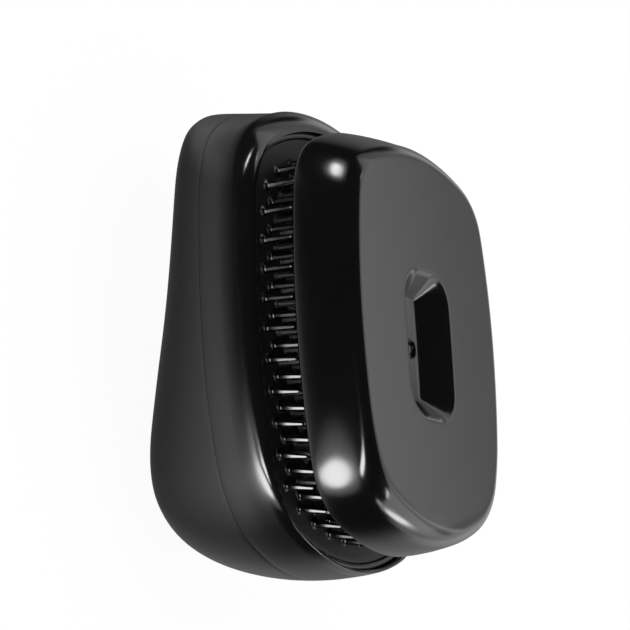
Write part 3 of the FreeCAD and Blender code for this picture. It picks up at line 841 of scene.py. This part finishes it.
def tooth_skin(pad, length):
    """One tooth, sunk a little into the pad: a domed bump, a slim cone and a round tip."""

    def loop(radius, height):
        turns = [2 * math.pi * number / TOOTH_SIDES for number in range(TOOTH_SIDES)]
        return [Vector((radius * math.cos(angle), radius * math.sin(angle), height)) for angle in turns]

    skin = Skin(loop(pad.bump_radius, -TOOTH_SINK))
    skin.through(
        loop(pad.bump_radius * 0.9, pad.bump_height * 0.5),
        loop(pad.tooth_base * 1.12, pad.bump_height),
        loop(pad.tooth_base * 0.95, pad.bump_height * 1.5),
        loop(pad.tooth_tip, length - pad.tooth_tip),
        loop(pad.tooth_tip * 0.7, length - pad.tooth_tip * 0.28)).cap()
    data = bpy.data.meshes.new("tooth")
    skin.mesh.to_mesh(data)
    skin.mesh.free()
    return data


class BRUSH_OT_tooth_pad(bpy.types.Operator):
    """Model the pad with its staggered, fanned-out teeth"""
    bl_idname = "palm_brush.tooth_pad"
    bl_label = "Tooth pad"

    def execute(self, context):
        body = context.scene.brush_body
        pad = context.scene.brush_pad
        cover = context.scene.brush_cover
        inset = body.rim_width + 2 * pad.clearance + pad.ring_width
        top = pad.foot + pad.thickness
        skin = Skin(body_loop(body, inset, pad.foot))
        skin.through(
            body_loop(body, inset, top - PAD_ROUND),
            body_loop(body, inset + 0.3 * PAD_ROUND, top - 0.3 * PAD_ROUND),
            body_loop(body, inset + PAD_ROUND, top),
            body_loop(body, inset + 4 * PAD_ROUND, top)).cap()
        skin.from_first().through(body_loop(body, inset + PAD_ROUND, pad.foot)).cap()
        shapes = {length: tooth_skin(pad, length) for length in (pad.long_tooth, pad.short_tooth)}
        for x, y, lean, length in tooth_places(body, pad, cover):
            start = len(skin.mesh.verts)
            skin.mesh.from_mesh(shapes[length])
            skin.mesh.verts.ensure_lookup_table()
            bmesh.ops.transform(
                skin.mesh, verts=skin.mesh.verts[start:],
                matrix=Matrix.Translation((x, y, top)) @ Matrix.Rotation(lean, 4, "Y"))
        for data in shapes.values():
            bpy.data.meshes.remove(data)
        finishes = context.scene.brush_finishes
        outer = outer_row(pad, cover)
        material = moulded_plastic(
            "matte_black_pad", finishes.pad, roughness=0.2, grain=0.12,
            tips=(top + 0.2 * MM, top + 2 * MM, finishes.teeth),
            inner=(body.length / 2 - outer, body.width / 2 - outer, top, 0.6))
        make_piece("tooth_pad_moulding", skin.mesh, "brush", ["tooth_pad"], material)
        return {"FINISHED"}


def recess_outline(cover, length, width, corner, wall):
    """A level of the hopper-shaped recess."""
    points = bowed_outline(
        length / 2 + wall, width / 2 + wall, cover.recess_bow, cover.recess_bow, corner + wall)
    return [(x + cover.recess_shift, y) for x, y in points]


def round_outline(cover, radius):
    """A circle in the recess floor, with its points where the floor's outline has them."""
    loop = []
    for x, y in recess_outline(cover, cover.floor_length, cover.floor_width, cover.floor_corner, 0):
        angle = math.atan2(y / cover.floor_width, (x - cover.recess_shift) / cover.floor_length)
        loop.append((cover.recess_shift + radius * math.cos(angle), radius * math.sin(angle)))
    return loop


def cover_loop(body, cover, inset, height):
    """The cover's outline at a height, with the thin end leaning back."""
    rise = (height - cover.edge) / cover.height
    start = 1 - cover.edge_round / cover.height
    below = start * clamp(rise / start)
    above = (1 - start) * eased((rise - start) / (1 - start))
    back = cover.slope * (below + above)
    loop = []
    for x, y in body_outline(body, cover.inset + inset):
        loop.append(Vector((x + back * clamp(-x / (body.length / 2 - cover.inset)), y, height)))
    return loop


def thick_blend(first, second):
    """Two loops made one: the first at the thin end and the sides, the second at the thick end."""
    return [a.lerp(b, eased((a.x - WIDENING_START) / WIDENING_LENGTH)) for a, b in zip(first, second)]


def side_profile(cover, edge_round):
    """Inset and height of points down the cover's outside: its round, its crowned side and its lip."""
    lean = math.sin(cover.crown)
    radius = (cover.height - edge_round * (1 - lean)) / (lean + math.sin(cover.edge_lean))
    middle = cover.edge + radius * math.sin(cover.edge_lean)
    sunk = radius * (1 - math.cos(cover.crown))
    points = []
    for step in range(COVER_STEPS + 1):
        angle = math.pi / 2 + (cover.crown - math.pi / 2) * step / COVER_STEPS
        points.append((
            sunk + edge_round * (math.cos(cover.crown) - math.cos(angle)),
            middle + radius * lean + edge_round * (math.sin(angle) - lean)))
    for step in range(1, CROWN_STEPS + 1):
        angle = cover.crown - (cover.crown + cover.edge_lean) * step / (CROWN_STEPS + CROWN_REST)
        points.append((radius * (1 - math.cos(angle)), middle + radius * math.sin(angle)))
    foot, height = points[-1]
    drop = height - cover.edge
    for angle in quarter(COVER_LIP_STEPS)[1:]:
        points.append((foot + cover.lip * (1 - math.cos(angle)), cover.edge + drop * (1 - math.sin(angle))))
    return points


def between(first, second, part):
    """A loop part of the way from one loop to another."""
    return [a.lerp(b, part) for a, b in zip(first, second)]


class BRUSH_OT_cover(bpy.types.Operator):
    """Model the deep cover with the recess and the gate mark in its face"""
    bl_idname = "palm_brush.cover"
    bl_label = "Cover"

    def execute(self, context):
        body = context.scene.brush_body
        cover = context.scene.brush_cover
        face = cover.edge + cover.height
        floor = face - cover.recess_depth
        pit = floor - cover.gate_depth
        stub = pit + cover.stub_height
        mouth = (cover.recess_length, cover.recess_width, cover.recess_corner)
        bottom = (cover.floor_length, cover.floor_width, cover.floor_corner)
        skin = Skin(level(round_outline(cover, cover.stub_radius * 0.8), stub)).cap().from_first()
        for radius, height in (
                (cover.stub_radius, stub - 0.1 * MM), (cover.stub_radius * 1.05, pit + 0.04 * MM),
                (cover.stub_radius * 1.15, pit), (cover.gate_radius * 0.97, pit),
                (cover.gate_radius, pit + 0.05 * MM), (cover.gate_radius, floor - 0.08 * MM),
                (cover.gate_radius * 1.05, floor)):
            skin.through(level(round_outline(cover, radius), height))
        lowest = level(recess_outline(cover, *bottom, 0), floor)
        brim = level(recess_outline(cover, *mouth, 0), face)
        lip = cover.recess_lip
        drop = lip / cover.recess_depth
        skin.through(
            level(recess_outline(cover, *bottom, -0.25 * MM), floor),
            [place + Vector((0, 0, 0.06 * MM)) for place in lowest])
        for part in (0.06, 0.35, 0.65, 1 - 1.6 * drop, 1 - drop):
            skin.through(between(lowest, brim, part))
        for outset, sunk in ((0.05, 0.35), (0.4, 0.1), (1, 0), (2, 0)):
            skin.through(level(recess_outline(cover, *mouth, outset * lip), face - sunk * lip))
        rounds = (cover.edge_round, cover.thick_round)
        profiles = list(zip(*(side_profile(cover, edge_round) for edge_round in rounds)))
        start = level(recess_outline(cover, *mouth, 2 * lip), face)
        held = thick_blend(*(
            cover_loop(body, cover, inset + 0.6 * MM, face) for inset, _ in profiles[0]))
        skin.through(between(start, held, 0.3), between(start, held, 0.65), held)
        for pair in profiles:
            skin.through(thick_blend(*(cover_loop(body, cover, inset, height) for inset, height in pair)))
        ceiling = face - cover.wall
        skin.through(
            cover_loop(body, cover, cover.wall - 0.2 * MM, cover.edge),
            cover_loop(body, cover, cover.wall, cover.edge + 0.2 * MM),
            cover_loop(body, cover, cover.wall, cover.edge + 3.5 * MM))
        for angle in quarter(INNER_COVER_STEPS):
            loops = []
            for edge_round in rounds:
                inner_round = edge_round - cover.wall
                inset = cover.wall + inner_round * (1 - math.cos(angle))
                loops.append(cover_loop(body, cover, inset, ceiling - inner_round * (1 - math.sin(angle))))
            skin.through(thick_blend(*loops))
        skin.through(
            level(recess_outline(cover, *mouth, cover.recess_wall), ceiling),
            level(recess_outline(cover, *bottom, cover.recess_wall), floor - cover.recess_wall)).cap()
        material = moulded_plastic(
            "gloss_black_cover", context.scene.brush_finishes.cover, roughness=0.16, grain=0.1)
        make_piece("cover_moulding", skin.mesh, "cover", ["cover_shell"], material)
        return {"FINISHED"}


class BRUSH_OT_inner_finishes(bpy.types.Operator):
    """Give the plate and the screws under the pad their finishes"""
    bl_idname = "palm_brush.inner_finishes"
    bl_label = "Inner finishes"

    def execute(self, context):
        finishes = context.scene.brush_finishes
        worn = {
            "pad_carrier": moulded_plastic(
                "matte_grey_carrier", finishes.carrier, roughness=0.5, grain=0.2),
            "frame_screws": screw_steel("bright_screws", finishes.steel),
        }
        for node, material in worn.items():
            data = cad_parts[node].data
            data.materials.clear()
            data.materials.append(material)
        return {"FINISHED"}


def dull(name, colour):
    """A stage finish without any gloss."""
    finish = Finish(name)
    finish.set(base_color=(*colour, 1), roughness=1.0, specular_ior_level=0)
    return finish


def white_floor(name, colour):
    """The floor: near white in the picture, where it keeps a soft shadow, and pale for the light."""
    finish = dull(name, colour)
    path = finish.node("ShaderNodeLightPath")
    seen = path.value("Is Camera Ray") + path.value("Is Glossy Ray") + path.value("Is Transmission Ray")
    white = finish.node("ShaderNodeEmission", None, {"Color": (1, 1, 1, 1), "Strength": 1.0}).value()
    shaded = Field(finish, finish.shader.outputs[0])
    shown = {0: seen * FLOOR_WHITENESS, 1: shaded, 2: white}
    mixed = finish.node("ShaderNodeMixShader", None, shown).value()
    finish.feed(finish.tree.nodes["Material Output"].inputs["Surface"], mixed)
    return finish.material


def stage_object(name, mesh, material):
    """An object of the stage, which isn't part of the brush."""
    data = bpy.data.meshes.new(name)
    mesh.to_mesh(data)
    mesh.free()
    data.materials.append(material)
    item = bpy.data.objects.new(name, data)
    bpy.context.scene.collection.objects.link(item)
    return item


def only_mirrored(item):
    """Let an object show in glossy plastic alone."""
    for ray in ("camera", "diffuse", "shadow", "transmission", "volume_scatter"):
        setattr(item, "visible_" + ray, False)


def grey(shade):
    """A grey colour."""
    return (shade, shade, shade)


def glow(name, light):
    """A stage material that only shines; light makes its colour from the finish."""
    finish = dull(name, grey(0))
    finish.set(emission_strength=1.0, emission_color=light(finish))
    return finish.material


def shine(finish, strength):
    """The colour of light of a strength."""
    return finish.mix(strength * (1 / ROOM_PEAK), grey(0), grey(ROOM_PEAK))


def patch(finish, aim, along, wide, tall):
    """A soft patch of light in the mirrored room: where it is, which way it runs, and its half widths."""
    aim = Vector(aim).normalized()
    along = (Vector(along) - aim * aim.dot(Vector(along))).normalized()
    u = finish.dot(along) * (1 / wide)
    v = finish.dot(aim.cross(along)) * (1 / tall)
    return (1 - finish.ramp(u * u + v * v, *SOFT_EDGE)) * finish.ramp(finish.dot(aim), *NEAR_SIDE)


def room_light(finish):
    """The room that the plastic mirrors: white behind, dim below, dark in front, with soft lights."""
    x, y, z = finish.axes()
    thin = 0 - x
    behind = finish.ramp(y, *BACK_WALL) * finish.ramp(z, *BACK_FOOT) * (1 - finish.ramp(thin, *BACK_END))
    ends = 0.5 * finish.ramp(thin, *END_WALL) * (1 - finish.ramp(z, *END_TOP))
    ground = (0.12 + finish.ramp(0 - y, *GROUND_REACH)) * (1 - finish.ramp(z, *GROUND_TOP))
    skirting = 0.3 * finish.ramp(z, *SKIRTING_FOOT) + 0.35 * finish.ramp(z, *SKIRTING_BAND)
    skirting = skirting * finish.ramp(y, *SKIRTING_WALL) * (1 - finish.ramp(z, *SKIRTING_TOP)) * 0.8
    lengthwise = 0.6 + 1.4 * finish.ramp(x, *LENGTHWISE)
    strength = behind + ends + lengthwise * (ground + skirting) + 0.01
    for *shape, peak in ROOM_LIGHTS:
        strength = strength + peak * patch(finish, *shape)
    return shine(finish, strength)


def mirrored_room():
    """A ball round the brush that shows in its gloss alone."""
    mesh = bmesh.new()
    bmesh.ops.create_icosphere(mesh, subdivisions=5, radius=1)
    only_mirrored(stage_object("mirrored_room", mesh, glow("mirrored_room", room_light)))


def far_panel_light(finish):
    """A white panel that dims downwards and towards the thin end, with two bars and a bright window."""
    x, _, z = finish.axes()
    fade = (x - FADE_PLACE[0]) * FADE_RATES[0] + (z - FADE_PLACE[1]) * FADE_RATES[1]
    gradient = finish.ramp(fade, -0.5, 0.5)
    bar = finish.ramp(x, *PANEL_BAR[:2]) * (1 - finish.ramp(x, *PANEL_BAR[2:]))
    bars = bar + finish.ramp(x, *PANEL_EDGE)
    u = (x - WINDOW_PLACE[0]) * (1 / WINDOW_HALVES[0])
    v = (z - WINDOW_PLACE[1]) * (1 / WINDOW_HALVES[1])
    window = 1 - finish.ramp(u * u + v * v, *WINDOW_EDGE)
    return shine(finish, 0.5 + 0.64 * gradient + bars + WINDOW_STRENGTH * window)


def far_panel():
    """A panel behind the brush, mirrored in the cover's face."""
    mesh = bmesh.new()
    bmesh.ops.create_grid(mesh, x_segments=1, y_segments=1, size=1)
    upright = Matrix.Rotation(math.pi / 2, 4, "X") @ Matrix.Diagonal((*PANEL_HALVES, 1, 1))
    bmesh.ops.transform(mesh, verts=mesh.verts, matrix=Matrix.Translation(PANEL_PLACE) @ upright)
    only_mirrored(stage_object("far_panel", mesh, glow("far_panel", far_panel_light)))


def near_lamp(name, spot, aim, distance, wide, tall):
    """A lamp close to the brush, mirrored in the cover's side and in the rim."""
    aim = Vector(aim).normalized()
    along = aim.cross(Vector((0, 0, 1))).normalized()
    upright = along.cross(aim)
    centre = Vector(spot) + aim * distance

    def lamp_light(finish):
        """Bright in the middle, with a dim halo."""
        u = (finish.dot(along) - centre.dot(along)) * (1 / wide)
        v = (finish.dot(upright) - centre.dot(upright)) * (1 / tall)
        spread = u * u + v * v
        core = 1 - finish.ramp(spread, *SOFT_EDGE)
        halo = 1 - finish.ramp(spread, *HALO_EDGE)
        light = (1 - HALO_SHARE) * core + HALO_SHARE * halo
        return finish.mix(light, grey(LAMP_RIM), grey(ROOM_PEAK))

    mesh = bmesh.new()
    bmesh.ops.create_circle(mesh, cap_ends=True, segments=48, radius=2)
    turned = Matrix((along * wide, upright * tall, aim)).transposed().to_4x4()
    bmesh.ops.transform(mesh, verts=mesh.verts, matrix=Matrix.Translation(centre) @ turned)
    only_mirrored(stage_object(name, mesh, glow(name, lamp_light)))


def softbox(name, aim, distance, width, height, power):
    """A soft light that stands in a direction from the cover and faces it."""
    lamp = bpy.data.lights.new(name, "AREA")
    lamp.shape = "ELLIPSE"
    lamp.size = width
    lamp.size_y = height
    lamp.energy = power
    item = bpy.data.objects.new(name, lamp)
    bpy.context.scene.collection.objects.link(item)
    aim = Vector(aim).normalized()
    item.location = Vector((0, 0, COVER_MIDDLE)) + aim * distance
    item.rotation_mode = "QUATERNION"
    item.rotation_quaternion = aim.to_track_quat("Z", "Y")
    item.visible_glossy = False


class BRUSH_OT_stage(bpy.types.Operator):
    """Set up the floor, the light and the camera"""
    bl_idname = "palm_brush.stage"
    bl_label = "Stage"

    def execute(self, context):
        scene = context.scene
        stage = scene.brush_stage
        mesh = bmesh.new()
        bmesh.ops.create_grid(mesh, x_segments=1, y_segments=1, size=4)
        bmesh.ops.translate(mesh, verts=mesh.verts, vec=(0, 0, -stage.floor_drop))
        floor = stage_object("pale_floor", mesh, white_floor("pale_floor", scene.brush_finishes.floor))
        floor.visible_glossy = False
        mirrored_room()
        far_panel()
        for name, lamp in NEAR_LAMPS.items():
            near_lamp(name, *lamp)
        softbox("key_softbox", (-0.3, -0.4, 0.87), distance=1.2, width=0.8, height=0.8, power=3.0)
        world = bpy.data.worlds.new("white_surroundings")
        world.use_nodes = True
        background = world.node_tree.nodes["Background"]
        background.inputs["Color"].default_value = (1, 1, 1, 1)
        background.inputs["Strength"].default_value = stage.light
        scene.world = world
        scene.view_settings.view_transform = "Standard"
        self.place_camera(scene, stage)
        return {"FINISHED"}

    def place_camera(self, scene, stage):
        """Stand the camera where the picture was taken from."""
        around = stage.side_turn
        along = stage.end_turn
        back = Vector((-math.sin(along), math.sin(around) * math.cos(along),
                       math.cos(around) * math.cos(along)))
        level_right = Vector((0, math.cos(around), -math.sin(around)))
        level_up = back.cross(level_right)
        right = level_right * math.cos(stage.roll) + level_up * math.sin(stage.roll)
        up = level_up * math.cos(stage.roll) - level_right * math.sin(stage.roll)
        scale = stage.pixels_per_millimetre / MM
        centre = stage.picture / 2
        aim = Vector((0, 0, stage.aim_height))
        aim += right * ((centre - stage.across) / scale) + up * ((stage.down - centre) / scale)
        lens = bpy.data.cameras.new("camera")
        lens.sensor_width = 36
        lens.lens = scale * stage.distance * lens.sensor_width / stage.picture
        lens.clip_start = 0.05
        lens.clip_end = 20
        camera = bpy.data.objects.new("camera", lens)
        scene.collection.objects.link(camera)
        camera.matrix_world = Matrix.Translation(aim + back * stage.distance) @ Matrix(
            (right, up, back)).transposed().to_4x4()
        scene.camera = camera


class BRUSH_PT_panel(bpy.types.Panel):
    """Lists the brush's pieces in the sidebar"""
    bl_idname = "BRUSH_PT_panel"
    bl_label = "Palm brush"
    bl_space_type = "VIEW_3D"
    bl_region_type = "UI"
    bl_category = "Brush"

    def draw(self, context):
        for operator in OPERATORS:
            self.layout.operator(operator.bl_idname)
        for settings in SETTINGS:
            group = getattr(context.scene, settings)
            box = self.layout.box()
            for key in group.bl_rna.properties.keys():
                if key not in ("rna_type", "name"):
                    box.prop(group, key)


OPERATORS = (
    BRUSH_OT_rear_shell, BRUSH_OT_front_frame, BRUSH_OT_retaining_ring, BRUSH_OT_tooth_pad,
    BRUSH_OT_cover, BRUSH_OT_inner_finishes, BRUSH_OT_stage)
SETTINGS = {
    "brush_body": BodySizes, "brush_pad": PadSizes, "brush_cover": CoverSizes,
    "brush_finishes": Finishes, "brush_stage": StageSettings}


def register():
    """Register the settings, the operators and the panel."""
    for name, group in SETTINGS.items():
        bpy.utils.register_class(group)
        setattr(bpy.types.Scene, name, bpy.props.PointerProperty(type=group))
    for cls in (*OPERATORS, BRUSH_PT_panel):
        bpy.utils.register_class(cls)


def unregister():
    """Take everything that register() added away again."""
    for cls in reversed((*OPERATORS, BRUSH_PT_panel)):
        bpy.utils.unregister_class(cls)
    for name, group in SETTINGS.items():
        delattr(bpy.types.Scene, name)
        bpy.utils.unregister_class(group)


def main():
    """Build every piece and the stage."""
    register()
    bpy.ops.palm_brush.rear_shell()
    bpy.ops.palm_brush.front_frame()
    bpy.ops.palm_brush.retaining_ring()
    bpy.ops.palm_brush.tooth_pad()
    bpy.ops.palm_brush.cover()
    bpy.ops.palm_brush.inner_finishes()
    bpy.ops.palm_brush.stage()


if __name__ == "__main__":
    main()
